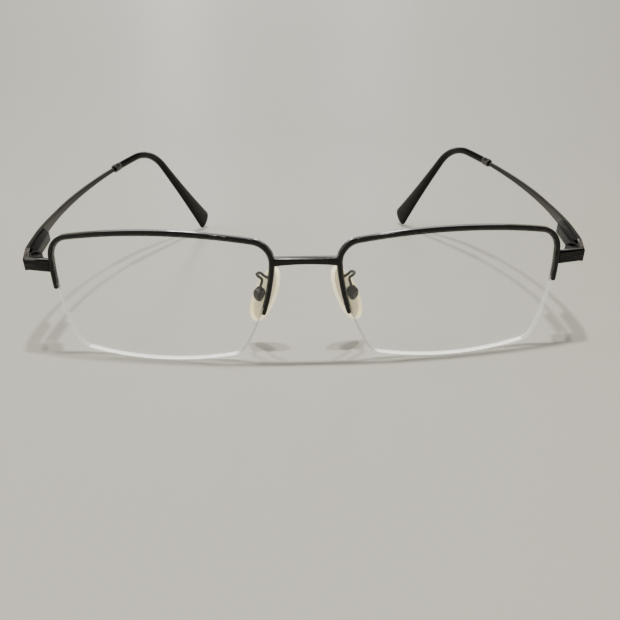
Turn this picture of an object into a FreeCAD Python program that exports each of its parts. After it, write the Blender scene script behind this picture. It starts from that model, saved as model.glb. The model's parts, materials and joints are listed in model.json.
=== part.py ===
"""Half-rim metal spectacles: a bridge and two grooved rim bars hold two lenses on nylon cords,
two sprung temples fold on screwed hinges, and two soft nose pads rock on their box screws.

Every left-hand piece (the wearer's left, +X) is built once and mirrored for the right.
The lenses look along -Y, +Z is up, and the table that the glasses stand on is Z = 0.
"""
import FreeCAD, Part
import Sketcher
import math
import os
from FreeCAD import Placement, Rotation, Vector

DRIVING_DIMENSIONS = {
    # Where the front stands: the origin is on the table, midway between bridge and temple tips.
    "front_setback": 64.18,
    # Lens: curved outline between four corners, on a sphere that is turned to wrap the face.
    "lens_centre_x": 35.3,
    "lens_centre_y": -0.6,
    "lens_centre_z": 16.285,
    "lens_wrap_angle": 9.1,
    "lens_tilt_angle": 1.75,
    "lens_sphere_radius": 220.0,
    "lens_thickness": 1.6,
    "lens_top_nasal_x": -27.1,
    "lens_top_temple_x": 27.0,
    "lens_bottom_temple_x": 23.1,
    "lens_bottom_nasal_x": -19.2,
    "lens_corner_top": 13.75,
    "lens_corner_bottom": -13.95,
    "lens_top_rise": 2.5,
    "lens_temple_bulge": 1.8,
    "lens_bottom_drop": 2.3,
    "lens_nasal_bulge": 2.2,
    "lens_top_corner_radius": 5.0,
    "lens_bottom_corner_radius": 4.0,
    # Rim bar, its groove, the liner in it and the cord round the open edge of the lens.
    "rim_gap": 0.03,
    "rim_width": 0.95,
    "rim_depth": 1.8,
    "nasal_leg_end": -3.3,
    "temple_leg_end": 1.0,
    "groove_depth": 0.42,
    "groove_width": 0.66,
    "cord_width": 0.6,
    # Bridge bar between the rims.
    "bridge_half_length": 8.6,
    "bridge_end_height": 1.9,
    "bridge_arch": 0.4,
    "bridge_depth": 2.1,
    "bridge_front_y": -3.35,
    "bridge_z": 26.25,
    "bridge_edge_radius": 0.3,
    # Endpiece: fluted block at the rim's corner, with a wall that wraps back to the temple.
    "block_corner_x": 62.4,
    "block_corner_y": 5.25,
    "block_z": 23.6,
    "block_turn": 17.9,
    "block_length": 8.0,
    "block_height": 3.0,
    "block_depth": 1.6,
    "block_undercut": 0.25,
    "block_bevel": 0.45,
    "flute_count": 4,
    "flute_width": 0.18,
    "flute_depth": 0.12,
    "flute_pitch": 0.5,
    "wall_thickness": 1.2,
    # Hinge: local frame on the screw's axis, y back along the temple, which rises to the rear.
    "hinge_x": 67.9,
    "hinge_y": 10.8,
    "hinge_z": 23.75,
    "temple_rise_angle": 8.9,
    "temple_toe_angle": 3.1,
    "hinge_height": 3.0,
    "butt_y": 4.0,
    "butt_gap": 0.05,
    "knuckle_radius": 1.7,
    "slot_height": 1.2,
    "eye_radius": 1.45,
    "eye_height": 1.0,
    "screw_radius": 0.6,
    "screw_clearance": 0.06,
    "screw_head_radius": 0.98,
    "screw_head_height": 0.3,
    "screw_head_sink": 0.7,
    "screw_bore_fit": 0.02,
    "washer_thickness": 0.06,
    "washer_radius": 1.4,
    # Spring housing on the inside of the temple, with the carriage, spring and seat inside it.
    "housing_inner_x": 0.35,
    "housing_outer_x": 2.5,
    "housing_length": 13.0,
    "housing_height": 2.4,
    "housing_nose_x": 1.5,
    "housing_nose_gap": 0.3,
    "housing_nose_opening": 3.3,
    "housing_step": 1.8,
    "cavity_width": 1.6,
    "cavity_height": 1.6,
    "cavity_length": 11.5,
    "carriage_x": 1.5,
    "carriage_guide_y": 4.6,
    "carriage_guide_length": 2.0,
    "carriage_neck_width": 0.7,
    "guide_clearance": 0.05,
    "pin_radius": 0.35,
    "pin_head_radius": 0.62,
    "pin_head_length": 0.7,
    "pin_end_y": 14.2,
    "spring_wire_radius": 0.11,
    "spring_radius": 0.52,
    "spring_pitch": 0.62,
    "spring_turns": 8.0,
    "seat_y": 7.2,
    "seat_thickness": 0.7,
    # Temple arm: a flat bowed blade that ends in a round core wire inside the tip.
    "arm_thickness": 1.1,
    "arm_height": 3.0,
    "arm_waist_height": 2.0,
    "arm_rear_height": 1.2,
    "arm_taper_start": 15.0,
    "arm_waist_y": 30.0,
    "arm_outer_x": 3.6,
    "arm_heading": 2.3,
    "arm_radius": 166.0,
    "arm_length": 67.5,
    "ferrule_start": 66.0,
    "ferrule_length": 3.2,
    "ferrule_radius": 1.42,
    "ferrule_bore": 0.95,
    "core_radius": 0.5,
    # Plastic tip: it bends down behind the ear and leans in a little.
    "bend_start": 79.5,
    "bend_radius": 18.9,
    "bend_angle": 55.0,
    "drop_length": 38.69,
    "drop_lean": 5.7,
    "tip_neck_radius": 1.15,
    "tip_nose_length": 1.7,
    "tip_nose_rounding": 0.62,
    "tip_paddle_half_width": 3.9,
    "tip_paddle_half_thickness": 1.05,
    # Nose pads: soft oval pads on a stiff core, each in a metal box on a bent wire arm.
    "pad_x": 10.3,
    "pad_y": 7.6,
    "pad_z": 14.5,
    "pad_lean_angle": 25.0,
    "pad_splay_angle": 41.0,
    "pad_length": 15.5,
    "pad_width": 7.6,
    "pad_thickness": 2.4,
    "insert_length": 10.5,
    "insert_width": 3.6,
    "insert_thickness": 0.7,
    "lug_height": 1.7,
    "lug_width": 1.1,
    "lug_reach": 2.65,
    "box_front": 1.55,
    "box_half_height": 1.85,
    "box_depth": 1.65,
    "box_width": 2.8,
    "box_wall": 0.5,
    "box_cavity_depth": 1.3,
    "pad_screw_x": 2.3,
    "pad_screw_radius": 0.4,
    "pad_screw_head_radius": 0.55,
    "pad_wire_radius": 0.38,
}

document = FreeCAD.newDocument("half_rim_glasses")
sheet = document.addObject("Spreadsheet::Sheet", "sizes")
for row, (word, number) in enumerate(DRIVING_DIMENSIONS.items(), start=1):
    sheet.set(f"A{row}", word)
    sheet.set(f"B{row}", str(number))
    sheet.setAlias(f"B{row}", word)
document.recompute()


class Size:
    """A length or an angle that carries its number and its formula in the sheet."""

    def __init__(self, number, formula):
        self.number = number
        self.formula = formula

    def __float__(self):
        return self.number

    def __neg__(self):
        return Size(-self.number, f"(0 - {self.formula})")

    def __add__(self, other):
        other = as_size(other)
        return Size(self.number + other.number, f"({self.formula} + {other.formula})")

    def __sub__(self, other):
        other = as_size(other)
        return Size(self.number - other.number, f"({self.formula} - {other.formula})")

    def __mul__(self, other):
        other = as_size(other)
        return Size(self.number * other.number, f"({self.formula} * {other.formula})")

    def __truediv__(self, other):
        other = as_size(other)
        return Size(self.number / other.number, f"({self.formula} / {other.formula})")


def as_size(value):
    return value if isinstance(value, Size) else Size(float(value), f"({value})")


def size(word):
    return Size(float(sheet.get(word)), f"sizes.{word}")


def millimetres(word):
    return float(sheet.get(word))


def sine(angle):
    return Size(math.sin(math.radians(angle.number)), f"sin({angle.formula})")


def cosine(angle):
    return Size(math.cos(math.radians(angle.number)), f"cos({angle.formula})")


def bind(feature, **properties):
    """Tie the named properties of a feature to their formulas in the sheet."""
    for name, value in properties.items():
        value = as_size(value)
        setattr(feature, name, value.number)
        feature.setExpression(name, value.formula)


# Frames that the pieces are placed in -----------------------------------------------------------

AXIS_X = Vector(1, 0, 0)
AXIS_Y = Vector(0, 1, 0)
AXIS_Z = Vector(0, 0, 1)
FRONT = Placement(Vector(0, -millimetres("front_setback"), 0), Rotation())


def frame_at(words, rotation):
    """Frame in the glasses' front, at the point that three sizes give."""
    return FRONT * Placement(Vector(*[millimetres(word) for word in words]), rotation)


LENS = frame_at(
    ("lens_centre_x", "lens_centre_y", "lens_centre_z"),
    Rotation(AXIS_Z, millimetres("lens_wrap_angle")) * Rotation(AXIS_X, millimetres("lens_tilt_angle")),
)
BLOCK = frame_at(
    ("block_corner_x", "block_corner_y", "block_z"),
    Rotation(AXIS_Z, millimetres("block_turn")),
)
HINGE = frame_at(
    ("hinge_x", "hinge_y", "hinge_z"),
    Rotation(AXIS_X, millimetres("temple_rise_angle")) * Rotation(AXIS_Z, -millimetres("temple_toe_angle")),
)
PAD = frame_at(
    ("pad_x", "pad_y", "pad_z"),
    Rotation(AXIS_Y, -millimetres("pad_lean_angle")) * Rotation(AXIS_Z, -millimetres("pad_splay_angle")),
)
BRIDGE = FRONT * Placement(Vector(0, millimetres("bridge_front_y"), millimetres("bridge_z")), Rotation())


# Corners of the hinge's web in the hinge frame, and of the pad arm's route in the front's frame.
HINGE_WEB = [(-2.6, -3.4), (2.0, -2.6), (2.0, 0.3), (-0.6, 1.5), (-2.6, -1.9)]
PAD_ARM_ROUTE = [
    (8.08, -1.9, 21.3), (8.1, -0.4, 21.35), (9.9, 0.9, 21.5), (11.1, 2.6, 22.1), (12.2, 4.2, 21.0),
    (11.6, 5.2, 20.0), (10.8, 5.6, 19.3), (11.1, 5.8, 18.0),
]


# Helpers for bodies, sketches and features ------------------------------------------------------

def new_body(label, frame):
    body = document.addObject("PartDesign::Body", label)
    body.Placement = frame
    return body


def new_sketch(body, plane_role, offset=Vector(0, 0, 0)):
    """Sketch on one of the body's own origin planes, or parallel to it at an offset."""
    sketch = body.newObject("Sketcher::SketchObject", f"{body.Name}_sketch")
    plane = next(item for item in body.Origin.OriginFeatures if item.Role == plane_role)
    sketch.AttachmentSupport = [(plane, "")]
    sketch.MapMode = "FlatFace"
    sketch.AttachmentOffset = Placement(offset, Rotation())
    return sketch


def hold_point(sketch, geometry, end, across, up):
    """Fix a point of the sketch by two dimensions from the sheet."""
    for kind, axis, value in (("DistanceX", -2, as_size(across)), ("DistanceY", -1, as_size(up))):
        if abs(value.number) < 1e-9:
            sketch.addConstraint(Sketcher.Constraint("PointOnObject", geometry, end, axis))
            continue
        held = sketch.addConstraint(Sketcher.Constraint(kind, -1, 1, geometry, end, value.number))
        sketch.setExpression(f"Constraints[{held}]", value.formula)


def draw_polygon(sketch, corners):
    """Closed outline of straight lines through corners given as (across, up) sizes."""
    points = [Vector(float(across), float(up), 0) for across, up in corners]
    first = sketch.GeometryCount
    for start, end in zip(points, points[1:] + points[:1]):
        sketch.addGeometry(Part.LineSegment(start, end))
    for index, (across, up) in enumerate(corners):
        following = first + (index + 1) % len(corners)
        sketch.addConstraint(Sketcher.Constraint("Coincident", first + index, 2, following, 1))
        hold_point(sketch, first + index, 1, across, up)


def draw_rectangle(sketch, left, right, low, high):
    draw_polygon(sketch, [(left, low), (right, low), (right, high), (left, high)])


def draw_circle(sketch, across, up, radius):
    radius = as_size(radius)
    centre = Vector(float(across), float(up), 0)
    circle = sketch.addGeometry(Part.Circle(centre, AXIS_Z, radius.number))
    hold_point(sketch, circle, 3, across, up)
    held = sketch.addConstraint(Sketcher.Constraint("Radius", circle, radius.number))
    sketch.setExpression(f"Constraints[{held}]", radius.formula)


def draw_arc(sketch, start, middle, end, radius):
    """Arc through three (across, up) points whose ends and radius are held."""
    points = [Vector(float(across), float(up), 0) for across, up in (start, middle, end)]
    arc = sketch.addGeometry(Part.Arc(*points))
    ends = {1: start, 2: end}
    if sketch.getPoint(arc, 1).distanceToPoint(points[0]) > sketch.getPoint(arc, 2).distanceToPoint(points[0]):
        ends = {1: end, 2: start}
    for vertex, (across, up) in ends.items():
        hold_point(sketch, arc, vertex, across, up)
    held = sketch.addConstraint(Sketcher.Constraint("Radius", arc, radius.number))
    sketch.setExpression(f"Constraints[{held}]", radius.formula)


def add_line(sketch, start, end):
    points = [Vector(float(across), float(up), 0) for across, up in (start, end)]
    line = sketch.addGeometry(Part.LineSegment(*points))
    hold_point(sketch, line, 1, *start)
    hold_point(sketch, line, 2, *end)


def extrude(body, kind, sketch, length, symmetric=True, reverse=False):
    """Pad or Pocket of a sketch, checked to add or to remove material."""
    before = body.Shape.Volume if body.Tip else 0.0
    feature = body.newObject(f"PartDesign::{kind}", f"{body.Name}_{kind.lower()}")
    feature.Profile = sketch
    feature.SideType = "Symmetric" if symmetric else "One side"
    feature.Reversed = reverse
    bind(feature, Length=length)
    document.recompute()
    check_change(body, kind == "Pad", before)
    return feature


def revolve(body, kind, sketch):
    """Revolution or Groove of a sketch about its own vertical axis."""
    before = body.Shape.Volume if body.Tip else 0.0
    feature = body.newObject(f"PartDesign::{kind}", f"{body.Name}_{kind.lower()}")
    feature.Profile = sketch
    feature.ReferenceAxis = (sketch, ["V_Axis"])
    feature.Angle = 360
    document.recompute()
    check_change(body, kind == "Revolution", before)
    return feature


def check_change(body, adds, before):
    after = body.Shape.Volume
    if (after > before) != adds:
        raise RuntimeError(f"{body.Label}: a feature changed nothing ({before:.3f} to {after:.3f})")


def long_edges(feature, direction, shortest):
    """Names of the feature's edges that run along a direction for at least a length."""
    names = []
    for index, edge in enumerate(feature.Shape.Edges, start=1):
        run = edge.Vertexes[-1].Point - edge.Vertexes[0].Point
        if run.Length >= shortest and abs(run.normalize().dot(direction)) > 0.99:
            names.append((f"Edge{index}", edge.BoundBox.Center))
    return names


def dress(body, kind, base, edges, amount):
    feature = body.newObject(f"PartDesign::{kind}", f"{body.Name}_{kind.lower()}")
    feature.Base = (base, edges)
    bind(feature, **{"Radius" if kind == "Fillet" else "Size": amount})
    document.recompute()
    return feature


def cut_from(label, base, tool):
    """Base with the tool's solid taken out, so that the two pieces meet face to face."""
    result = document.addObject("Part::Cut", label)
    result.Base = base
    result.Tool = tool
    document.recompute()
    return result


def shape_feature(label, shape, frame):
    feature = document.addObject("Part::Feature", label)
    feature.Shape = shape
    feature.Placement = frame
    return feature


# Lens, rim, liner and cord: bands of one outline between concentric spheres --------------------

OUTLINE_FRONT = -6.0
OUTLINE_BACK = 10.0


def side_circle(start, end, rise):
    """Circle of the arc from start to end that bulges outwards on a clockwise outline."""
    chord = end - start
    outward = Vector(-chord.z, 0, chord.x).normalize()
    radius = (chord.Length ** 2 / 4 + rise ** 2) / (2 * rise)
    return (start + end) * 0.5 + outward * (rise - radius), radius


def corner_circle(before, after, corner, radius):
    """Circle of a radius that touches two side circles from inside, near their corner."""
    (centre_a, radius_a), (centre_b, radius_b) = before, after
    between = centre_b - centre_a
    reach_a = radius_a - radius
    reach_b = radius_b - radius
    along = (between.Length ** 2 + reach_a ** 2 - reach_b ** 2) / (2 * between.Length)
    aside = math.sqrt(reach_a ** 2 - along ** 2)
    direction = Vector(between).normalize()
    across = Vector(-direction.z, 0, direction.x)
    foot = centre_a + direction * along
    centre = min((foot + across * aside, foot - across * aside), key=corner.distanceToPoint)
    return centre, radius


def lens_circles():
    """Circles of the lens edge seen from the front: four sides and the corners between them."""
    top = millimetres("lens_corner_top")
    bottom = millimetres("lens_corner_bottom")
    corners = [
        Vector(millimetres("lens_top_nasal_x"), OUTLINE_FRONT, top),
        Vector(millimetres("lens_top_temple_x"), OUTLINE_FRONT, top),
        Vector(millimetres("lens_bottom_temple_x"), OUTLINE_FRONT, bottom),
        Vector(millimetres("lens_bottom_nasal_x"), OUTLINE_FRONT, bottom),
    ]
    rises = ("lens_top_rise", "lens_temple_bulge", "lens_bottom_drop", "lens_nasal_bulge")
    radius_at = {
        top: millimetres("lens_top_corner_radius"),
        bottom: millimetres("lens_bottom_corner_radius"),
    }
    following = corners[1:] + corners[:1]
    sides = [side_circle(start, end, millimetres(rise)) for start, end, rise in zip(corners, following, rises)]
    circles = []
    for side, next_side, corner in zip(sides, sides[1:] + sides[:1], following):
        circles.append(side)
        circles.append(corner_circle(side, next_side, corner, radius_at[corner.z]))
    return circles


LENS_CIRCLES = lens_circles()


def outline(outset):
    """Lens edge moved outwards: the same centres, every radius larger by outset."""
    def touch(first, second):
        large, small = sorted((first, second), key=lambda circle: -circle[1])
        return large[0] + (small[0] - large[0]).normalize() * (large[1] + outset)

    arcs = []
    count = len(LENS_CIRCLES)
    for index, circle in enumerate(LENS_CIRCLES):
        centre, radius = circle
        start = touch(LENS_CIRCLES[index - 1], circle)
        end = touch(circle, LENS_CIRCLES[(index + 1) % count])
        middle = centre + (start + end - centre * 2).normalize() * (radius + outset)
        arcs.append(Part.Arc(start, middle, end).toShape())
    return Part.Wire(arcs)


def prism(outset):
    """Solid right through the frame inside the lens outline moved outwards by outset."""
    return Part.Face(outline(outset)).extrude(Vector(0, OUTLINE_BACK - OUTLINE_FRONT, 0))


def shell(front_depth, back_depth):
    """Space between two spheres, at two depths behind the front surface of the lens."""
    radius = millimetres("lens_sphere_radius")
    centre = Vector(0, radius, 0)
    outer = Part.makeSphere(radius - front_depth, centre)
    return outer.cut(Part.makeSphere(radius - back_depth, centre))


def band(inner_offset, outer_offset, width):
    """Ring round the lens edge, centred in the lens's thickness and as deep as width."""
    middle = millimetres("lens_thickness") / 2
    ring = prism(outer_offset).cut(prism(inner_offset))
    return ring.common(shell(middle - width / 2, middle + width / 2))


def above_legs(extra):
    """Space above the two leg ends of the rim bar, raised by extra."""
    reach = millimetres("lens_sphere_radius")
    nasal = millimetres("nasal_leg_end") + extra
    temple = millimetres("temple_leg_end") + extra
    steps = [(-reach, nasal), (0, nasal), (0, temple), (reach, temple), (reach, reach), (-reach, reach)]
    points = [Vector(across, OUTLINE_FRONT, up) for across, up in steps]
    face = Part.Face(Part.makePolygon(points + points[:1]))
    return face.extrude(Vector(0, OUTLINE_BACK - OUTLINE_FRONT, 0))


def make_lens():
    groove = millimetres("groove_depth")
    blank = prism(0).common(shell(0, millimetres("lens_thickness")))
    return shape_feature("lens_left", blank.cut(band(-groove, 1.0, millimetres("groove_width"))), LENS)


def make_rim_bar():
    gap = millimetres("rim_gap")
    bar = band(gap, gap + millimetres("rim_width"), millimetres("rim_depth")).common(above_legs(0))
    groove = band(0, gap + millimetres("groove_depth"), millimetres("groove_width"))
    return shape_feature("rim_bar_left", bar.cut(groove), LENS)


def make_liner_and_cord():
    """The liner fills both grooves under the bar; the cord lies in the lens's groove below it."""
    reach = millimetres("groove_depth") - 0.03
    cord_tuck = 1.5
    inside = band(-reach, millimetres("rim_gap") + reach, millimetres("cord_width"))
    liner = inside.common(above_legs(cord_tuck + 0.1))
    cord = band(-reach, 0, millimetres("cord_width")).cut(above_legs(cord_tuck))
    return shape_feature("rim_liner_left", liner, LENS), shape_feature("lens_cord_left", cord, LENS)


def make_rim_blank():
    """The rim's whole outline as a solid: bridge and endpiece are coped against it."""
    outset = millimetres("rim_gap") + millimetres("rim_width")
    return shape_feature("rim_blank_left", prism(outset), LENS)


# Bridge -----------------------------------------------------------------------------------------

def make_bridge(blanks):
    """Bar arched underneath, its upper front edge rounded and its ends coped to the rims."""
    body = new_body("bridge_bar", BRIDGE)
    half = size("bridge_half_length")
    top = size("bridge_end_height") / 2
    rise = size("bridge_arch")
    radius = (half * half + rise * rise) / (rise * 2)
    sketch = new_sketch(body, "XZ_Plane")
    draw_arc(sketch, (-half, -top), (0, rise - top), (half, -top), radius)
    add_line(sketch, (half, -top), (half, top))
    add_line(sketch, (-half, top), (half, top))
    add_line(sketch, (-half, -top), (-half, top))
    pad = extrude(body, "Pad", sketch, size("bridge_depth"), symmetric=False, reverse=True)
    edges = long_edges(pad, AXIS_X, half.number)
    top_front = [name for name, centre in edges if centre.y < 0.1 and centre.z > 0]
    dress(body, "Fillet", pad, top_front, size("bridge_edge_radius"))
    return cut_from("bridge", body, blanks)


# Endpiece ---------------------------------------------------------------------------------------

def make_endpiece_block():
    """Block in the rim's corner: undercut outer end, bevelled top and fluted front face."""
    body = new_body("endpiece_block", BLOCK)
    start = Size(-0.9, "(0 - 0.9)")
    half = size("block_height") / 2
    length = size("block_length")
    sketch = new_sketch(body, "XZ_Plane")
    draw_polygon(sketch, [
        (start, -half), (length - size("block_undercut"), -half), (length, half), (start, half),
    ])
    pad = extrude(body, "Pad", sketch, size("block_depth"), symmetric=False, reverse=True)
    edges = long_edges(pad, AXIS_X, length.number / 2)
    top_front = [name for name, centre in edges if centre.y < 0.1 and centre.z > 0]
    dress(body, "Chamfer", pad, top_front, size("block_bevel"))
    flutes = new_sketch(body, "XZ_Plane")
    low = size("flute_pitch") - half
    draw_rectangle(flutes, start, length + 1, low, low + size("flute_width"))
    pocket = extrude(body, "Pocket", flutes, size("flute_depth"), symmetric=False)
    pattern = body.newObject("PartDesign::LinearPattern", "flute_pattern")
    pattern.Originals = [pocket]
    pattern.Direction = (flutes, ["V_Axis"])
    bind(pattern, Length=size("flute_pitch") * (size("flute_count") - 1))
    pattern.Occurrences = int(millimetres("flute_count"))
    body.Tip = pattern
    return body


def wall_lines():
    """Outer and inner ends of the endpiece's wall in the hinge frame, front then rear."""
    rear_y = size("butt_y") - size("butt_gap")
    outer_x = size("arm_outer_x")
    thickness = size("wall_thickness")
    front_outer = (outer_x - 1.35, rear_y - 6.95)
    front_inner = (outer_x - 1.35 - thickness, rear_y - 6.75)
    return [front_outer, (outer_x, rear_y), (outer_x - thickness, rear_y), front_inner]


def make_endpiece(blank):
    wall = new_body("endpiece_wall", HINGE)
    sketch = new_sketch(wall, "XY_Plane")
    draw_polygon(sketch, wall_lines())
    extrude(wall, "Pad", sketch, size("hinge_height"))
    whole = document.addObject("Part::MultiFuse", "endpiece_whole")
    whole.Shapes = [make_endpiece_block(), wall]
    document.recompute()
    return cut_from("endpiece_left", whole, blank)


# Hinge ------------------------------------------------------------------------------------------

def make_front_hinge(endpiece):
    """Two barrels on a web inside the endpiece, with a slot between them for the eye."""
    body = new_body("front_hinge_blank", HINGE)
    web = new_sketch(body, "XY_Plane")
    draw_polygon(web, HINGE_WEB)
    extrude(body, "Pad", web, size("hinge_height"))
    knuckle = new_sketch(body, "XY_Plane")
    draw_circle(knuckle, 0, 0, size("knuckle_radius"))
    extrude(body, "Pad", knuckle, size("hinge_height"))
    slot = new_sketch(body, "YZ_Plane")
    half_slot = size("slot_height") / 2
    slot_front = -(size("eye_radius") + 0.1)
    draw_rectangle(slot, slot_front, size("knuckle_radius") * 2, -half_slot, half_slot)
    extrude(body, "Pocket", slot, size("knuckle_radius") * 5)
    bore = new_sketch(body, "XZ_Plane")
    barrel_top = size("hinge_height") / 2
    ledge = barrel_top - size("screw_head_sink")
    bore_radius = size("screw_radius") + size("screw_bore_fit")
    head_radius = size("screw_head_radius") + size("screw_bore_fit") * 2
    draw_polygon(bore, [
        (0, -barrel_top - 1), (bore_radius, -barrel_top - 1), (bore_radius, ledge),
        (head_radius, ledge), (head_radius, barrel_top + 1), (0, barrel_top + 1),
    ])
    revolve(body, "Groove", bore)
    return cut_from("front_hinge_left", body, endpiece)


def make_hinge_screw():
    """Slotted screw whose sunk head sits in the upper barrel."""
    body = new_body("hinge_screw_left", HINGE)
    tip = -(size("hinge_height") / 2)
    ledge = -tip - size("screw_head_sink") + size("screw_bore_fit")
    top = ledge + size("screw_head_height")
    shank = size("screw_radius")
    head = size("screw_head_radius")
    profile = new_sketch(body, "XZ_Plane")
    draw_polygon(profile, [(0, tip), (shank, tip), (shank, ledge), (head, ledge), (head, top), (0, top)])
    revolve(body, "Revolution", profile)
    slot = new_sketch(body, "XY_Plane", Vector(0, 0, top.number))
    half_slot = head / 8
    draw_rectangle(slot, -head * 2, head * 2, -half_slot, half_slot)
    extrude(body, "Pocket", slot, size("screw_head_height") / 2, symmetric=False)
    return body


def make_hinge_washers():
    """Thin washers above and below the eye, two solids in one piece."""
    body = new_body("hinge_washers_left", HINGE)
    body.AllowCompound = True
    inner = size("screw_radius") + size("screw_clearance")
    outer = size("washer_radius")
    near = size("eye_height") / 2 + size("screw_bore_fit")
    far = near + size("washer_thickness")
    profile = new_sketch(body, "XZ_Plane")
    draw_rectangle(profile, inner, outer, near, far)
    draw_rectangle(profile, inner, outer, -far, -near)
    revolve(body, "Revolution", profile)
    return body


def make_hinge_carriage():
    """Eye on the screw, neck, guide block and the headed pin that the spring pulls on."""
    body = new_body("hinge_carriage_left", HINGE)
    eye = new_sketch(body, "XY_Plane")
    draw_circle(eye, 0, 0, size("eye_radius"))
    extrude(body, "Pad", eye, size("eye_height"))
    centre = size("carriage_x")
    guide_front = size("carriage_guide_y")
    guide_back = guide_front + size("carriage_guide_length")
    neck_end = guide_front + 0.1
    neck_bend = size("eye_radius") * 2
    neck_inner = centre - size("carriage_neck_width")
    neck = new_sketch(body, "XY_Plane")
    draw_polygon(neck, [
        (size("eye_radius") - 0.25, 0.2), (centre, neck_bend), (centre, neck_end),
        (neck_inner, neck_end), (neck_inner, neck_bend), (-0.3, size("eye_radius") - 0.25),
    ])
    extrude(body, "Pad", neck, size("eye_height"))
    guide = new_sketch(body, "XY_Plane")
    half_width = size("cavity_width") / 2 - size("guide_clearance")
    draw_rectangle(guide, centre - half_width, centre + half_width, guide_front, guide_back)
    extrude(body, "Pad", guide, size("cavity_height") - size("guide_clearance") * 2)
    pin = new_sketch(body, "XY_Plane", Vector(centre.number, 0, 0))
    pin_radius = size("pin_radius")
    head_radius = size("pin_head_radius")
    pin_start = guide_back - 0.2
    pin_end = size("pin_end_y")
    head = pin_end - size("pin_head_length")
    draw_polygon(pin, [(0, pin_start), (pin_radius, pin_start), (pin_radius, head),
                       (head_radius, head), (head_radius, pin_end), (0, pin_end)])
    revolve(body, "Revolution", pin)
    hole = new_sketch(body, "XY_Plane")
    draw_circle(hole, 0, 0, size("screw_radius") + size("screw_clearance"))
    extrude(body, "Pocket", hole, size("hinge_height"))
    return body


def make_hinge_spring():
    """Coil spring round the pin, between the seat in the housing and the pin's head."""
    frame = HINGE * Placement(
        Vector(millimetres("carriage_x"), millimetres("seat_y") + millimetres("seat_thickness") + 0.2, 0),
        Rotation(AXIS_X, -90),
    )
    helix = document.addObject("Part::Helix", "spring_line")
    bind(helix, Pitch=size("spring_pitch"), Radius=size("spring_radius"),
         Height=size("spring_pitch") * size("spring_turns"))
    helix.Placement = frame
    wire = document.addObject("Part::Circle", "spring_wire")
    bind(wire, Radius=size("spring_wire_radius"))
    wire.Placement = frame * Placement(Vector(millimetres("spring_radius"), 0, 0), Rotation(AXIS_X, 90))
    document.recompute()
    spring = document.addObject("Part::Sweep", "hinge_spring_left")
    spring.Sections = [wire]
    spring.Spine = (helix, [])
    spring.Solid = True
    spring.Frenet = True
    return spring


def make_spring_seat():
    """Plate fixed across the housing's cavity, bored for the pin."""
    body = new_body("spring_seat_left", HINGE)
    centre = size("carriage_x")
    half_width = size("cavity_width") / 2 - 0.01
    front = size("seat_y")
    plate = new_sketch(body, "XY_Plane")
    draw_rectangle(plate, centre - half_width, centre + half_width, front, front + size("seat_thickness"))
    extrude(body, "Pad", plate, size("cavity_height") - 0.02)
    bore = new_sketch(body, "XZ_Plane")
    draw_circle(bore, centre, 0, size("pin_radius") + size("guide_clearance"))
    extrude(body, "Pocket", bore, 40)
    return body


def make_spring_housing(arm):
    """Box on the inside of the temple: its forked nose ends in an arc round the hinge barrels."""
    body = new_body("spring_housing_blank", HINGE)
    front = size("butt_y")
    inner = size("housing_inner_x")
    nose = size("housing_nose_x")
    outer = size("housing_outer_x")
    back = front + size("housing_length")
    step = size("housing_step")
    outline = new_sketch(body, "XY_Plane")
    draw_polygon(outline, [
        (inner, 0.5), (nose, 0.5), (nose, front), (outer, front), (outer, back),
        (inner + step, back), (inner, back - step * 1.5),
    ])
    extrude(body, "Pad", outline, size("housing_height"))
    round_barrel = new_sketch(body, "XY_Plane")
    draw_circle(round_barrel, 0, 0, size("knuckle_radius") + size("housing_nose_gap"))
    extrude(body, "Pocket", round_barrel, size("hinge_height"))
    fork = new_sketch(body, "XY_Plane")
    draw_rectangle(fork, inner - 1, nose + 1, 0, size("housing_nose_opening"))
    extrude(body, "Pocket", fork, size("cavity_height"))
    cavity = new_sketch(body, "XY_Plane")
    centre = size("carriage_x")
    half_width = size("cavity_width") / 2
    draw_rectangle(cavity, centre - half_width, centre + half_width, 0, front + size("cavity_length"))
    extrude(body, "Pocket", cavity, size("cavity_height"))
    return cut_from("spring_housing_left", body, arm)


# Temple arm, ferrule and tip: stations along one bowed and bent line ----------------------------

def arm_centre():
    """Centre of the arm's bow and the point where its centre line starts, as sizes."""
    start_x = size("arm_outer_x") - size("arm_thickness") / 2
    radius = size("arm_radius")
    heading = size("arm_heading")
    centre_x = start_x - radius * cosine(heading)
    centre_y = size("butt_y") + radius * sine(heading)
    return centre_x, centre_y


def station(distance):
    """Point, direction and upward normal of the temple's line, a distance behind its front end."""
    radius = millimetres("arm_radius")
    bend_start = millimetres("bend_start")
    bend_radius = millimetres("bend_radius")
    bend_angle = math.radians(millimetres("bend_angle"))
    centre_x, centre_y = arm_centre()
    bowed = min(distance, bend_start)
    heading = math.radians(millimetres("arm_heading")) - bowed / radius
    point = Vector(centre_x.number + radius * math.cos(heading), centre_y.number - radius * math.sin(heading), 0)
    along = Vector(math.sin(heading), math.cos(heading), 0)
    if distance <= bend_start:
        return point, along, Vector(0, 0, 1)
    lean = math.radians(millimetres("drop_lean"))
    inward = Vector(-along.y, along.x, 0)
    down = inward * math.sin(lean) + Vector(0, 0, -math.cos(lean))
    turned = min((distance - bend_start) / bend_radius, bend_angle)
    point = point + along * (bend_radius * math.sin(turned)) + down * (bend_radius * (1 - math.cos(turned)))
    direction = along * math.cos(turned) + down * math.sin(turned)
    straight = distance - bend_start - turned * bend_radius
    up = along * math.sin(turned) - down * math.cos(turned)
    return point + direction * straight, direction, up


def bend_end():
    return millimetres("bend_start") + millimetres("bend_radius") * math.radians(millimetres("bend_angle"))


def temple_end():
    return bend_end() + millimetres("drop_length")


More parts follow.
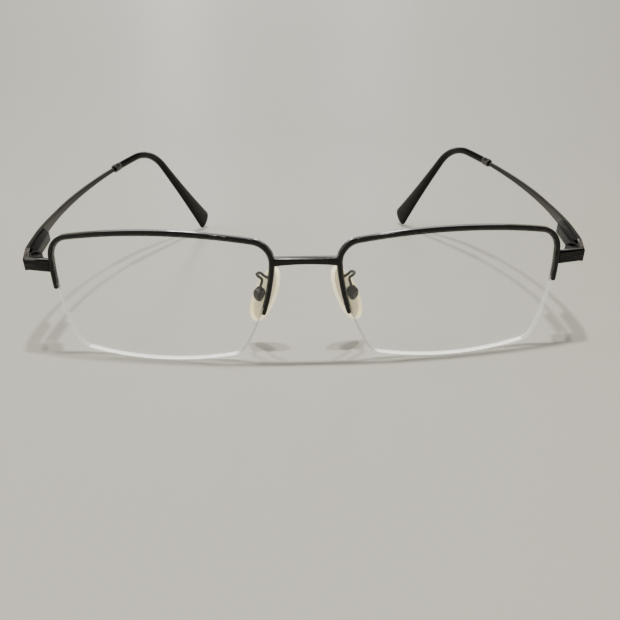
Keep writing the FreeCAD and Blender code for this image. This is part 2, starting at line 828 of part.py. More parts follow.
def temple_path(start, end):
    """Wire along the temple's line: bow, bend and straight drop."""
    def arc(first, last):
        return Part.Arc(*[station(d)[0] for d in (first, (first + last) / 2, last)]).toShape()
    bend_start = millimetres("bend_start")
    return Part.Wire([
        arc(start, bend_start),
        arc(bend_start, bend_end()),
        Part.makeLine(station(bend_end())[0], station(end)[0]),
    ])


def make_temple_core():
    """Round wire that the blade is drawn down to, inside the tip."""
    start = millimetres("arm_length") - 1.5
    point, direction, _ = station(start)
    circle = Part.Wire([Part.makeCircle(millimetres("core_radius"), point, direction)])
    path = temple_path(start, temple_end() - 8)
    return shape_feature("temple_core", path.makePipeShell([circle], True, False), HINGE)


def make_temple_blade():
    """Flat blade: a bowed band in plan, tapered in height towards the rear."""
    body = new_body("temple_blade", HINGE)
    centre_x, centre_y = arm_centre()
    heading = size("arm_heading")
    radius = size("arm_radius")
    half = size("arm_thickness") / 2
    turn = size("arm_length") * Size(math.degrees(1), "57.29577951") / radius
    angles = (heading, heading - turn / 2, heading - turn)

    def edge_points(offset):
        reach = radius + offset
        return [(centre_x + reach * cosine(a), centre_y - reach * sine(a)) for a in angles]

    outer = edge_points(half)
    inner = edge_points(-half)
    band_sketch = new_sketch(body, "XY_Plane")
    draw_arc(band_sketch, *outer, radius + half)
    draw_arc(band_sketch, *inner, radius - half)
    add_line(band_sketch, outer[0], inner[0])
    add_line(band_sketch, outer[2], inner[2])
    extrude(body, "Pad", band_sketch, size("arm_height"))
    taper = new_sketch(body, "YZ_Plane")
    top = size("arm_height") / 2
    start_y = size("arm_taper_start")
    waist_y = size("arm_waist_y")
    end_y = size("butt_y") + size("arm_length")
    for side in (1, -1):
        over = (top + 1) * side
        draw_polygon(taper, [
            (start_y, top * side), (waist_y, size("arm_waist_height") / 2 * side),
            (end_y, size("arm_rear_height") / 2 * side), (end_y, over), (start_y, over),
        ])
    extrude(body, "Pocket", taper, 80)
    return body


def make_temple_arm():
    arm = document.addObject("Part::MultiFuse", "temple_arm_left")
    arm.Shapes = [make_temple_blade(), make_temple_core()]
    document.recompute()
    return arm


def make_ferrule():
    """Collar over the joint of blade and tip, with rounded rims."""
    middle = millimetres("ferrule_start") + millimetres("ferrule_length") / 2
    point, direction, up = station(middle)
    turned = Rotation(direction.cross(up), direction, up, "YZX")
    body = new_body("ferrule_left", HINGE * Placement(point, turned))
    half = size("ferrule_length") / 2
    bore = size("ferrule_bore")
    outer = size("ferrule_radius")
    rim = outer - 0.2
    profile = new_sketch(body, "XY_Plane")
    draw_polygon(profile, [(bore, -half), (rim, -half), (outer, -(half - 0.3)), (outer, half - 0.3),
                           (rim, half), (bore, half)])
    revolve(body, "Revolution", profile)
    return body


def tip_section(distance):
    """Ellipse of the tip at a station: round neck, flatter and wider towards a rounded end."""
    neck = millimetres("tip_neck_radius")
    end = temple_end()
    nose = millimetres("tip_nose_length")
    bend = millimetres("bend_start")
    spread = max(0.0, min(1.0, (distance - bend) / (end - nose - bend))) ** 2
    nearness = max(0.0, (distance - end + nose) / nose)
    rounding = math.sqrt(1 - millimetres("tip_nose_rounding") * nearness ** 2)
    half_height = (neck + (millimetres("tip_paddle_half_width") - neck) * spread) * rounding
    half_thickness = (neck + (millimetres("tip_paddle_half_thickness") - neck) * spread) * rounding
    point, direction, up = station(distance)
    side = direction.cross(up)
    if half_height > half_thickness:
        return Part.Ellipse(point + up * half_height, point + side * half_thickness, point)
    return Part.Circle(point, direction, half_thickness)


def make_temple_tip():
    """Plastic tip lofted along the temple's line and bored for the core wire."""
    start = millimetres("ferrule_start") + millimetres("ferrule_length") + 0.03
    end = temple_end()
    nose = millimetres("tip_nose_length")
    steps = 14
    distances = [start + (end - nose - start) * step / steps for step in range(steps)]
    distances += [end - nose * part for part in (1.0, 0.75, 0.5, 0.3, 0.14, 0.0)]
    skin = Part.makeLoft([Part.Wire([tip_section(d).toShape()]) for d in distances], True)
    mouth, direction, _ = station(start - 1)
    circle = Part.Wire([Part.makeCircle(millimetres("core_radius") + 0.02, mouth, direction)])
    bore = temple_path(start - 1, end - 7.5).makePipeShell([circle], True, False)
    return shape_feature("temple_tip_left", skin.cut(bore), HINGE)


# Nose pads --------------------------------------------------------------------------------------

def make_pad_insert():
    """Stiff core: a plate inside the soft pad and a bored lug that enters the box."""
    body = new_body("pad_insert_left", PAD)
    plate = new_sketch(body, "YZ_Plane")
    half_width = size("insert_width") / 2
    half_length = size("insert_length") / 2
    draw_rectangle(plate, -half_width, half_width, -half_length, half_length)
    extrude(body, "Pad", plate, size("insert_thickness"))
    lug = new_sketch(body, "XZ_Plane")
    draw_rectangle(lug, 0.1, size("lug_reach"), -(size("lug_height") / 2), size("lug_height") / 2)
    extrude(body, "Pad", lug, size("lug_width"))
    bore = new_sketch(body, "XZ_Plane")
    draw_circle(bore, size("pad_screw_x"), 0, size("pad_screw_radius") + 0.04)
    extrude(body, "Pocket", bore, 6)
    return body


def make_nose_pad(insert):
    """Soft oval pad, rounded all over, moulded round the plate of its core."""
    half_length = millimetres("pad_length") / 2
    half_width = millimetres("pad_width") / 2
    half_thickness = millimetres("pad_thickness") / 2
    oval = Part.Ellipse(Vector(0, 0, half_length), Vector(0, half_width, 0), Vector(0, 0, 0)).toShape()
    blank = Part.Face(Part.Wire([oval])).extrude(Vector(half_thickness * 2, 0, 0))
    blank.translate(Vector(-half_thickness, 0, 0))
    rims = [edge for edge in blank.Edges if edge.Length > half_length * 3]
    soft = blank.makeFillet(half_thickness * 0.8, rims)
    core = insert.Shape.copy()
    core.Placement = Placement()
    return shape_feature("nose_pad_left", soft.cut(core), PAD)


def make_pad_box():
    """D-shaped metal cup, open towards the pad, with a cross hole for the screw."""
    body = new_body("pad_box_left", PAD)
    half_height = size("box_half_height")
    depth = size("box_depth")
    radius = (half_height * half_height + depth * depth) / (depth * 2)
    front = size("box_front")
    half_width = size("box_width") / 2
    outline_sketch = new_sketch(body, "XZ_Plane")
    draw_arc(outline_sketch, (front, half_height), (front + depth, 0), (front, -half_height), radius)
    add_line(outline_sketch, (front, half_height), (front, -half_height))
    extrude(body, "Pad", outline_sketch, size("box_width"))
    wall = size("box_wall")
    cavity = new_sketch(body, "XZ_Plane")
    draw_rectangle(cavity, front - 1, front + size("box_cavity_depth"), wall - half_height, half_height - wall)
    extrude(body, "Pocket", cavity, (half_width - wall) * 2)
    bore = new_sketch(body, "XZ_Plane")
    draw_circle(bore, size("pad_screw_x"), 0, size("pad_screw_radius"))
    extrude(body, "Pocket", bore, 6)
    return body


def make_pad_screw():
    """Screw across the box, its domed head on the front side."""
    body = new_body("pad_screw_left", PAD)
    half_width = size("box_width") / 2
    shank = size("pad_screw_radius") - 0.01
    head = size("pad_screw_head_radius")
    profile = new_sketch(body, "XY_Plane", Vector(millimetres("pad_screw_x"), 0, 0))
    draw_polygon(profile, [
        (0, half_width), (shank, half_width), (shank, -half_width), (head, -half_width),
        (head, -half_width - 0.2), (head * 0.6, -half_width - 0.4), (0, -half_width - 0.4),
    ])
    revolve(body, "Revolution", profile)
    return body


def rounded_path(points):
    """Straight runs joined by tangent arcs as large as the two runs at each corner allow."""
    edges = []
    last = points[0]
    for before, corner, after in zip(points, points[1:], points[2:]):
        into = corner - before
        out = after - corner
        half_turn = into.getAngle(out) / 2
        trim = 0.45 * min(into.Length, out.Length)
        start = corner - into.normalize() * trim
        end = corner + out.normalize() * trim
        bisector = (end + start) * 0.5 - corner
        radius = trim / math.tan(half_turn)
        bulge = corner + bisector.normalize() * (radius / math.cos(half_turn) - radius)
        edges.append(Part.makeLine(last, start))
        edges.append(Part.Arc(start, bulge, end).toShape())
        last = end
    edges.append(Part.makeLine(last, points[-1]))
    return Part.Wire(edges)


def make_pad_arm(box, rim):
    """Wire soldered behind the nasal leg of the rim, turned in an open loop and down to the box."""
    in_box = FRONT.inverse() * PAD * Vector(millimetres("box_front") + 1.2, 0, 1.4)
    route = [Vector(*corner) for corner in PAD_ARM_ROUTE] + [in_box]
    path = rounded_path(route)
    start = (route[1] - route[0]).normalize()
    circle = Part.Wire([Part.makeCircle(millimetres("pad_wire_radius"), route[0], start)])
    wire = path.makePipeShell([circle], True, False)
    wire.Placement = FRONT
    trimmed = wire.cut(box.Shape).cut(rim.Shape)
    return shape_feature("pad_arm_left", max(trimmed.Solids, key=lambda solid: solid.Volume), Placement())


# Assembly ---------------------------------------------------------------------------------------

def mirrored(piece):
    """The right-hand copy of a left-hand piece."""
    copy = document.addObject("Part::Mirroring", piece.Label.replace("_left", "_right"))
    copy.Source = piece
    copy.Normal = AXIS_X
    return copy


def build_left_side():
    """All pieces of the wearer's left side, and the outline that the bridge is coped to."""
    blank = make_rim_blank()
    rim = make_rim_bar()
    liner, cord = make_liner_and_cord()
    endpiece = make_endpiece(blank)
    arm = make_temple_arm()
    box = make_pad_box()
    insert = make_pad_insert()
    document.recompute()
    pieces = [
        make_lens(), rim, liner, cord, endpiece, make_front_hinge(endpiece), make_hinge_screw(),
        make_hinge_washers(), make_hinge_carriage(), make_hinge_spring(), make_spring_seat(),
        make_spring_housing(arm), arm, make_ferrule(), make_temple_tip(), box, insert,
        make_nose_pad(insert), make_pad_screw(), make_pad_arm(box, rim),
    ]
    return blank, pieces


def build():
    """The bridge and both sides."""
    blank, left = build_left_side()
    document.recompute()
    blanks = document.addObject("Part::MultiFuse", "rim_blanks")
    blanks.Shapes = [blank, mirrored(blank)]
    document.recompute()
    pieces = [make_bridge(blanks)] + left + [mirrored(piece) for piece in left]
    document.recompute()
    return pieces


def check_document():
    for item in document.Objects:
        if "Invalid" in item.State or "Error" in item.State:
            raise RuntimeError(f"{item.Label} failed: {item.State}")


def export(pieces):
    os.makedirs("parts", exist_ok=True)
    for piece in pieces:
        shape = piece.Shape
        if shape.isNull() or not shape.isValid() or not shape.Solids:
            raise RuntimeError(f"{piece.Label} has no valid solid")
        shape.exportStep(f"parts/{piece.Label}.step")
        box = shape.BoundBox
        print(f"{piece.Label:24s} solids {len(shape.Solids)} volume {shape.Volume:9.3f} "
              f"x {box.XMin:7.2f} {box.XMax:7.2f} y {box.YMin:7.2f} {box.YMax:7.2f} "
              f"z {box.ZMin:6.2f} {box.ZMax:6.2f}")
    whole = Part.makeCompound([piece.Shape for piece in pieces]).BoundBox
    print(f"whole: x {whole.XMin:.3f} {whole.XMax:.3f} y {whole.YMin:.3f} {whole.YMax:.3f} "
          f"z {whole.ZMin:.3f} {whole.ZMax:.3f}")


all_pieces = build()
check_document()
export(all_pieces)
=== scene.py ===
"""Half-rim metal spectacles standing open on a pale table, seen from the front and a little above.

Each refined piece is built for the wearer's left side (+X) in millimetres and mirrored for the
right. Temples and pads are placed by the record's joints, lenses, rims, cords and bridge by CAD boxes.
"""
import json
import math

import bpy
from mathutils import Matrix, Vector


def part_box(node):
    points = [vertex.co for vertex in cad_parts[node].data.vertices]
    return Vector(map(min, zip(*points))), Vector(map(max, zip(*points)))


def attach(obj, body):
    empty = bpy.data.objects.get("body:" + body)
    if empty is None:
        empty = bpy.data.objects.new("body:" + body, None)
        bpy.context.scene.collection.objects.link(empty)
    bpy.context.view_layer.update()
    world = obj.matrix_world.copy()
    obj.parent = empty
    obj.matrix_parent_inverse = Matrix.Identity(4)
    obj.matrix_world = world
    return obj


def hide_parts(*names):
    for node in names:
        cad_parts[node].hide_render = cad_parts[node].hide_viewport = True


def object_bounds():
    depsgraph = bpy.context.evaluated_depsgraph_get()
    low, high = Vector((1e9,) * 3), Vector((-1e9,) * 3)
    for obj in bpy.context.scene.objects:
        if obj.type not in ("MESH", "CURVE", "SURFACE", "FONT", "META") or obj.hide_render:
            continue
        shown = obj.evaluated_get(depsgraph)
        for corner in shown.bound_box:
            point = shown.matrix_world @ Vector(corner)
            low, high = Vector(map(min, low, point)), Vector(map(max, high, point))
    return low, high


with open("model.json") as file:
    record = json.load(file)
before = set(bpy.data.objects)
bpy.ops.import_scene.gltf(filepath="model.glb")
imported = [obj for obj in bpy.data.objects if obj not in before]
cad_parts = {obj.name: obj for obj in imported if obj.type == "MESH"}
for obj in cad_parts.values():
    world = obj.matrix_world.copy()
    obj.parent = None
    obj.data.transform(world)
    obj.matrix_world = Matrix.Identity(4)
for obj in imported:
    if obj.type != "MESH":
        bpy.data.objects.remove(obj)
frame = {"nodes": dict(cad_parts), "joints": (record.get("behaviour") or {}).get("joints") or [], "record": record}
CAD_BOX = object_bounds()

MM = 0.001
JOINTS = {joint["name"]: joint for joint in frame["joints"]}
SLOTS = {part["node"]: part["material_slot"] for part in frame["record"]["subparts"]}

# Lens outline: four bulging sides between corners, on a sphere, as in the CAD model.
LENS_RADIUS = 220.0
LENS_THICKNESS = 1.6
LENS_TURN = Matrix.Rotation(math.radians(9.1), 3, "Z") @ Matrix.Rotation(math.radians(1.75), 3, "X")
LENS_CORNERS = ((-27.1, 13.75), (27.0, 13.75), (23.1, -13.95), (-19.2, -13.95))
LENS_RISES = (2.5, 1.8, 2.3, 2.2)
LENS_CORNER_RADII = (5.0, 5.0, 4.0, 4.0)
OUTLINE_STEP = 0.3
EDGE_BEVEL = 0.12
GROOVE_HALF_WIDTH = 0.33
GROOVE_DEPTH = 0.42
FACE_RING_SHARES = (0.985, 0.96, 0.9, 0.8, 0.65, 0.5, 0.35, 0.2, 0.08)

# Material numbers of the lens edge, painted lighter or darker by which way it faces, and how far down its normal
# points where they change.
BOTTOM_EDGE, COVERED_EDGE, NASAL_EDGE, FADING_EDGE, OUTER_EDGE = 1, 2, 3, 4, 5
BOTTOM_NORMAL = -0.975
FADING_NORMAL = -0.9

# Rim bar and cord, measured outwards from the lens outline and back from its front surface.
RIM_GAP = 0.03
RIM_WIDTH = 0.95
RIM_DEPTH = (-0.1, 1.7)
RIM_CORNER = 0.26
LEG_CHAMFER = 0.72
LEG_ENDS = (-3.3, 1.0)
CORD_RADIUS = 0.29
CORD_SINK = 0.01
CORD_TUCK = 1.5

# Bridge bar between the rims.
BRIDGE_REACH = 7.45
BRIDGE_HEIGHT = 1.9
BRIDGE_ARCH = 0.4
BRIDGE_DEPTH = 2.1
BRIDGE_BEVEL_ENDS = (0.25, 0.2)
BRIDGE_BEVEL_SWELL = (0.45, 0.3)
BRIDGE_SOFTENING = 0.14

# Temple: bowed blade, ferrule and bent tip along one line in the hinge's own frame.
ARM_START = (3.05, 4.0)
ARM_HEADING = math.radians(2.3)
ARM_BOW = 166.0
ARM_END = 67.5
ARM_HALF_THICKNESS = 0.55
ARM_CORNER = 0.16
ARM_HEIGHTS = ((0.0, 3.0), (11.0, 3.0), (26.0, 2.0), (67.5, 1.2))
FERRULE = (66.0, 69.2)
BEND_START = 79.5
BEND_RADIUS = 18.9
BEND_ANGLE = math.radians(55.0)
DROP_LENGTH = 38.69
DROP_LEAN = math.radians(5.7)
TIP_NECK = 1.15
TIP_PADDLE = (3.9, 1.05)
TIP_NOSE = 1.7
TIP_ROUNDING = 0.62
TIP_SQUARENESS = 0.18

# Nose pad in its own frame: along the nose, across it, and through its thickness.
PAD_HALF_LENGTH = 7.75
PAD_HALF_WIDTH = 3.8
PAD_HALF_THICKNESS = 1.2
PAD_CENTRE = -2.3
PAD_TAPER = 0.06
PAD_HOLLOW = 0.55
PAD_RING_SHARES = (0.04, 0.2, 0.4, 0.58, 0.72, 0.83, 0.91, 0.96, 0.99)
PAD_LIP_RINGS = 3

# Metal cup of the pad, in the same frame but measured from the screw.
CUP_FRONT = -0.75
CUP_DEPTH = 1.65
CUP_HALF_HEIGHT = 1.9
CUP_HALF_WIDTH = 1.5
CUP_WALL = 0.45
CUP_MOUTH = (0.5, 0.4)
CUP_CORNERS = (1.05, 0.5)
CUP_CAVITY_DEPTH = 1.25
CUP_CAVITY_TAPER = 0.78
CUP_LIP = 0.2
CUP_BACK_NARROWING = 0.3
CUP_MOUTH_NARROWING = 0.12

# Clean-up of the CAD nodes that still show: points this close are one, and edges get this bevel.
WELD_DISTANCE = 0.002
SOFT_EDGE = 0.06

# Table top, in metres: a flat disc and the radius of the curve that rises from its rim.
TABLE_FLAT = 0.32
TABLE_CURVE = 0.8

# Lights, in metres and watts: name, place, point aimed at, size, power, colour.
WARM = (1.0, 0.965, 0.90)
COOL = (0.95, 0.98, 1.0)
ON_TABLE = (0.0, 0.0, 0.0)
ON_FRAME = (0.0, 0.0, 0.04)
LIGHTS = (
    ("lamp_left", (-0.14, -0.02, 1.3), ON_TABLE, (0.08, 0.08), 10.2, WARM),
    ("lamp_right", (0.10, 0.0, 1.3), ON_TABLE, (0.08, 0.08), 9.0, WARM),
    ("strip_back", (0.0, 0.83, 0.36), ON_FRAME, (0.8, 0.2), 0.8, COOL),
    ("gleam_left", (-0.17, 0.82, 0.33), ON_FRAME, (0.07, 0.06), 0.35, COOL),
    ("gleam_right", (0.10, 0.82, 0.35), ON_FRAME, (0.07, 0.06), 0.3, COOL),
    ("side_left", (-0.7, -0.05, 0.5), ON_TABLE, (0.5, 0.5), 2.8, WARM),
)
ROOM_COLOUR = (0.78, 0.775, 0.75, 1.0)
ROOM_STRENGTH = 0.1

# Camera: place, sensor width and focal length in millimetres; yaw, downward pitch and roll in degrees.
CAMERA_PLACE = (-1.2, -215.48, 73.75)
CAMERA_TURNS = (0.79, 21.88, -0.72)
CAMERA_SENSOR = 36.0
CAMERA_LENS = 38.66


# Meshes ---------------------------------------------------------------------------------------

class Skin:
    """Points and faces of a mesh in the making; each face carries a material number."""

    def __init__(self):
        self.points = []
        self.faces = []
        self.kinds = []

    def ring(self, points):
        start = len(self.points)
        self.points.extend(points)
        return list(range(start, len(self.points)))

    def face(self, corners, kind=0):
        self.faces.append(corners)
        self.kinds.append(kind)

    def bridge(self, first, second, kind=0):
        """Quads between two closed rings; kind is one number or a list with one for each quad."""
        count = len(first)
        for i in range(count):
            j = (i + 1) % count
            chosen = kind[i] if isinstance(kind, list) else kind
            self.face([first[i], first[j], second[j], second[i]], chosen)

    def tube(self, rings, kind=0, ends=True):
        """Skin over a row of closed rings, with a flat face on each end."""
        numbered = [self.ring(points) for points in rings]
        for first, second in zip(numbered, numbered[1:]):
            self.bridge(first, second, kind)
        if ends:
            self.face(numbered[0][::-1], kind)
            self.face(numbered[-1], kind)
        return numbered


def finish_mesh(name, skin, place, materials, mirrored=False, sharp=35.0):
    """Blender object from a skin: placed in the row frame, mirrored if asked, smooth with sharp edges."""
    side = -1 if mirrored else 1
    points = [place @ Vector(point) for point in skin.points]
    points = [(side * p.x * MM, p.y * MM, p.z * MM) for p in points]
    faces = [corners[::-1] if mirrored else corners for corners in skin.faces]
    mesh = bpy.data.meshes.new(name)
    mesh.from_pydata(points, [], faces)
    mesh.update()
    for material in materials:
        mesh.materials.append(material)
    for polygon, kind in zip(mesh.polygons, skin.kinds):
        polygon.material_index = kind
        polygon.use_smooth = True
    mesh.set_sharp_from_angle(angle=math.radians(sharp))
    obj = bpy.data.objects.new(name, mesh)
    bpy.context.scene.collection.objects.link(obj)
    return obj


def body_of_node(node):
    bodies = frame["record"]["behaviour"]["bodies"]
    return next(body for body, nodes in bodies.items() if node in nodes)


def stand_for(obj, node):
    """The piece rides with the CAD node's body and replaces it."""
    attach(obj, body_of_node(node))
    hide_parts(node)


def make_pair(stem, node_stem, skin, place, materials, sharp=35.0):
    """The left piece from a skin and its mirror image on the right."""
    for side in ("left", "right"):
        piece = finish_mesh(f"{stem}_{side}", skin, place, materials, side == "right", sharp)
        stand_for(piece, f"{node_stem}_{side}")


def box_centre(points):
    low = [min(p[i] for p in points) for i in range(3)]
    high = [max(p[i] for p in points) for i in range(3)]
    return Vector([(a + b) / 2 for a, b in zip(low, high)])


def placed_in_box(points, turn, node):
    """Rotation and shift that put these local points' box centre on the CAD node's."""
    low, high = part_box(node)
    centre = (low + high) / 2 / MM
    shift = centre - box_centre([turn @ Vector(p) for p in points])
    return Matrix.Translation(shift) @ turn.to_4x4()


def circle_angles(count):
    """Even angles round a full circle."""
    return [math.tau * i / count for i in range(count)]


def quarter_turn(steps):
    """Angles of a quarter circle, without its start."""
    return [math.radians(90 * step / steps) for step in range(1, steps + 1)]


def rounded_rectangle(half_a, half_b, radius, steps=4):
    """Closed outline of (a, b) points, anticlockwise from the lower right."""
    outline = []
    for centre_a, centre_b, start in ((1, -1, -90), (1, 1, 0), (-1, 1, 90), (-1, -1, 180)):
        for step in range(steps + 1):
            angle = math.radians(start + 90 * step / steps)
            outline.append((
                centre_a * (half_a - radius) + radius * math.cos(angle),
                centre_b * (half_b - radius) + radius * math.sin(angle),
            ))
    return outline


# Lens outline ---------------------------------------------------------------------------------

def side_circle(start, end, rise):
    """Centre and radius of the side that bulges out by rise between two corners."""
    chord = end - start
    outward = Vector((-chord.y, chord.x)).normalized()
    radius = (chord.length ** 2 / 4 + rise ** 2) / (2 * rise)
    return (start + end) / 2 + outward * (rise - radius), radius


def corner_circle(before, after, corner, radius):
    """Circle of a radius that touches two sides from inside, near their corner."""
    (centre_a, radius_a), (centre_b, radius_b) = before, after
    between = centre_b - centre_a
    reach_a = radius_a - radius
    reach_b = radius_b - radius
    along = (between.length ** 2 + reach_a ** 2 - reach_b ** 2) / (2 * between.length)
    aside = math.sqrt(reach_a ** 2 - along ** 2)
    direction = between.normalized()
    across = Vector((-direction.y, direction.x))
    foot = centre_a + direction * along
    centre = min((foot + across * aside, foot - across * aside), key=lambda c: (c - corner).length)
    return centre, radius


def outline_samples():
    """Evenly spaced (point, outward normal) pairs round the lens edge, from the nasal top corner."""
    corners = [Vector(corner) for corner in LENS_CORNERS]
    following = corners[1:] + corners[:1]
    sides = [side_circle(*piece) for piece in zip(corners, following, LENS_RISES)]
    radii = LENS_CORNER_RADII[1:] + LENS_CORNER_RADII[:1]
    circles = []
    for side, next_side, corner, radius in zip(sides, sides[1:] + sides[:1], following, radii):
        circles += [side, corner_circle(side, next_side, corner, radius)]

    def touch(first, second):
        large, small = sorted((first, second), key=lambda circle: -circle[1])
        return (small[0] - large[0]).normalized()

    samples = []
    for index, circle in enumerate(circles):
        centre, radius = circle
        start = touch(circles[index - 1], circle)
        end = touch(circle, circles[(index + 1) % len(circles)])
        sweep = start.angle_signed(end)
        steps = max(2, round(abs(sweep) * radius / OUTLINE_STEP))
        first = math.atan2(start.y, start.x)
        for step in range(steps):
            angle = first - sweep * step / steps
            normal = Vector((math.cos(angle), math.sin(angle)))
            samples.append((centre + normal * radius, normal))
    return samples


OUTLINE = outline_samples()


def on_sphere(u, v, depth):
    """Point in the lens frame, at a depth behind the lens's front surface."""
    radius = LENS_RADIUS - depth
    return Vector((u, LENS_RADIUS - math.sqrt(radius ** 2 - u ** 2 - v ** 2), v))


def edge_ring(sample, profile):
    """Cross-section of (outset, depth) points at one sample of the outline."""
    point, normal = sample
    return [on_sphere(*(point + normal * outset), depth) for outset, depth in profile]


def covered_by_rim(sample, extra=0.0):
    """Whether the rim covers this sample when both of its legs end higher by extra."""
    (u, v), _ = sample
    return v > LEG_ENDS[0 if u < 0 else 1] + extra


def rim_stretch(extra, inside):
    """Samples along the rim bar, or along the open edge, from one leg end to the other."""
    keep = [covered_by_rim(sample, extra) == inside for sample in OUTLINE]
    count = len(OUTLINE)
    first = next(i for i in range(count) if keep[i] and not keep[i - 1])
    length = sum(keep)
    return [OUTLINE[(first + i) % count] for i in range(length)]


def edge_kind(sample):
    """Which material number the lens edge has at this sample: painted brightest where it faces down, less where it
    turns and outwards, a faint grey beside the nose, dark under the rim.
    """
    _, normal = sample
    if covered_by_rim(sample):
        return COVERED_EDGE
    if normal.y < BOTTOM_NORMAL:
        return BOTTOM_EDGE
    if normal.y < FADING_NORMAL:
        return FADING_EDGE
    return OUTER_EDGE if normal.x > 0 else NASAL_EDGE


def lens_skin():
    """Lens: polished faces, bevelled edge and the groove for cord and liner."""
    skin = Skin()
    groove_front = LENS_THICKNESS / 2 - GROOVE_HALF_WIDTH
    groove_back = LENS_THICKNESS / 2 + GROOVE_HALF_WIDTH
    profile = [
        (-EDGE_BEVEL, 0.0),
        (0.0, EDGE_BEVEL),
        (0.0, groove_front),
        (-GROOVE_DEPTH, groove_front),
        (-GROOVE_DEPTH, groove_back),
        (0.0, groove_back),
        (0.0, LENS_THICKNESS - EDGE_BEVEL),
        (-EDGE_BEVEL, LENS_THICKNESS),
    ]
    rings = [skin.ring([edge_ring(s, [spot])[0] for s in OUTLINE]) for spot in profile]
    edge_kinds = [edge_kind(sample) for sample in OUTLINE]
    for first, second in zip(rings, rings[1:]):
        skin.bridge(first, second, edge_kinds)
    for depth, edge, turned in ((0.0, rings[0], False), (LENS_THICKNESS, rings[-1], True)):
        last = edge
        for share in FACE_RING_SHARES:
            spots = [(point - normal * EDGE_BEVEL) * share for point, normal in OUTLINE]
            ring = skin.ring([on_sphere(u, v, depth) for u, v in spots])
            skin.bridge(*((last, ring) if turned else (ring, last)))
            last = ring
        centre = skin.ring([on_sphere(0, 0, depth)])[0]
        for i, corner in enumerate(last):
            following = last[(i + 1) % len(last)]
            skin.face([centre, corner, following] if not turned else [centre, following, corner])
    return skin


def rim_skin():
    """Rim bar: softened rectangular wire round the top of the lens, with chamfered leg ends."""
    low, high = RIM_DEPTH
    middle = (low + high) / 2
    half_depth = (high - low) / 2
    half_width = RIM_WIDTH / 2
    outer = [
        (RIM_GAP + half_width + a, middle + b)
        for a, b in rounded_rectangle(half_width, half_depth, RIM_CORNER, 5)
    ]
    centre_a, centre_b = RIM_GAP + half_width, middle
    leg_end = [
        (centre_a + (a - centre_a) * LEG_CHAMFER, centre_b + (b - centre_b) * LEG_CHAMFER)
        for a, b in outer
    ]
    samples = rim_stretch(0.0, True)
    skin = Skin()
    rings = [edge_ring(samples[0], leg_end)]
    rings += [edge_ring(sample, outer) for sample in samples[1:-1]]
    rings.append(edge_ring(samples[-1], leg_end))
    skin.tube(rings)
    return skin


def cord_skin():
    """Clear cord that lies in the groove round the open edge, tucked under both legs."""
    middle = LENS_THICKNESS / 2
    profile = [
        (-CORD_RADIUS - CORD_SINK + CORD_RADIUS * math.cos(a), middle + CORD_RADIUS * math.sin(a))
        for a in circle_angles(14)
    ]
    skin = Skin()
    skin.tube([edge_ring(sample, profile) for sample in rim_stretch(CORD_TUCK, False)])
    return skin


def bridge_skin():
    """Bridge bar in the bridge's own frame: crescent bevel on top, arched below."""
    skin = Skin()
    rings = []
    steps = 60
    for step in range(steps + 1):
        across = BRIDGE_REACH * (2 * step / steps - 1)
        share = 1 - (across / BRIDGE_REACH) ** 2
        low = BRIDGE_ARCH * share - BRIDGE_HEIGHT / 2
        high = BRIDGE_HEIGHT / 2
        bevel_y = BRIDGE_BEVEL_ENDS[0] + BRIDGE_BEVEL_SWELL[0] * share
        bevel_z = BRIDGE_BEVEL_ENDS[1] + BRIDGE_BEVEL_SWELL[1] * share
        corners = [
            (0, low),
            (0, high - bevel_z),
            (bevel_y, high),
            (BRIDGE_DEPTH, high),
            (BRIDGE_DEPTH, low),
        ]
        rings.append([Vector((across, y, z)) for y, z in softened(corners, BRIDGE_SOFTENING)])
    skin.tube(rings)
    return skin


def softened(corners, cut, steps=3):
    """Closed outline with every corner rounded by a small curve that starts cut before it."""
    def towards(corner, neighbour):
        side = neighbour - corner
        return corner + side.normalized() * min(cut, side.length * 0.45)

    outline = []
    spots = [Vector(corner) for corner in corners]
    for before, corner, after in zip(spots[-1:] + spots[:-1], spots, spots[1:] + spots[:1]):
        start = towards(corner, before)
        end = towards(corner, after)
        for step in range(steps + 1):
            share = step / steps
            point = start * (1 - share) ** 2 + corner * 2 * share * (1 - share) + end * share ** 2
            outline.append(tuple(point))
    return outline


# Temple line ----------------------------------------------------------------------------------

def station(distance):
    """Point, direction and upward normal of the temple's line in the hinge frame."""
    centre_x = ARM_START[0] - ARM_BOW * math.cos(ARM_HEADING)
    centre_y = ARM_START[1] + ARM_BOW * math.sin(ARM_HEADING)
    heading = ARM_HEADING - min(distance, BEND_START) / ARM_BOW
    point = Vector((centre_x + ARM_BOW * math.cos(heading), centre_y - ARM_BOW * math.sin(heading), 0))
    along = Vector((math.sin(heading), math.cos(heading), 0))
    if distance <= BEND_START:
        return point, along, Vector((0, 0, 1))
    inward = Vector((-along.y, along.x, 0))
    down = inward * math.sin(DROP_LEAN) - Vector((0, 0, math.cos(DROP_LEAN)))
    turned = min((distance - BEND_START) / BEND_RADIUS, BEND_ANGLE)
    point += (along * math.sin(turned) + down * (1 - math.cos(turned))) * BEND_RADIUS
    direction = along * math.cos(turned) + down * math.sin(turned)
    up = along * math.sin(turned) - down * math.cos(turned)
    return point + direction * (distance - BEND_START - turned * BEND_RADIUS), direction, up


TIP_END = BEND_START + BEND_RADIUS * BEND_ANGLE + DROP_LENGTH


def section(distance, outline):
    """Ring of (sideways, upwards) points round the temple's line."""
    point, direction, up = station(distance)
    side = direction.cross(up)
    return [point + side * a + up * b for a, b in outline]


def blade_height(distance):
    """Height of the blade: straight runs between the stations where its taper changes."""
    for (start, high), (end, low) in zip(ARM_HEIGHTS, ARM_HEIGHTS[1:]):
        if distance <= end:
            share = (distance - start) / (end - start)
            return high + (low - high) * share
    return ARM_HEIGHTS[-1][1]


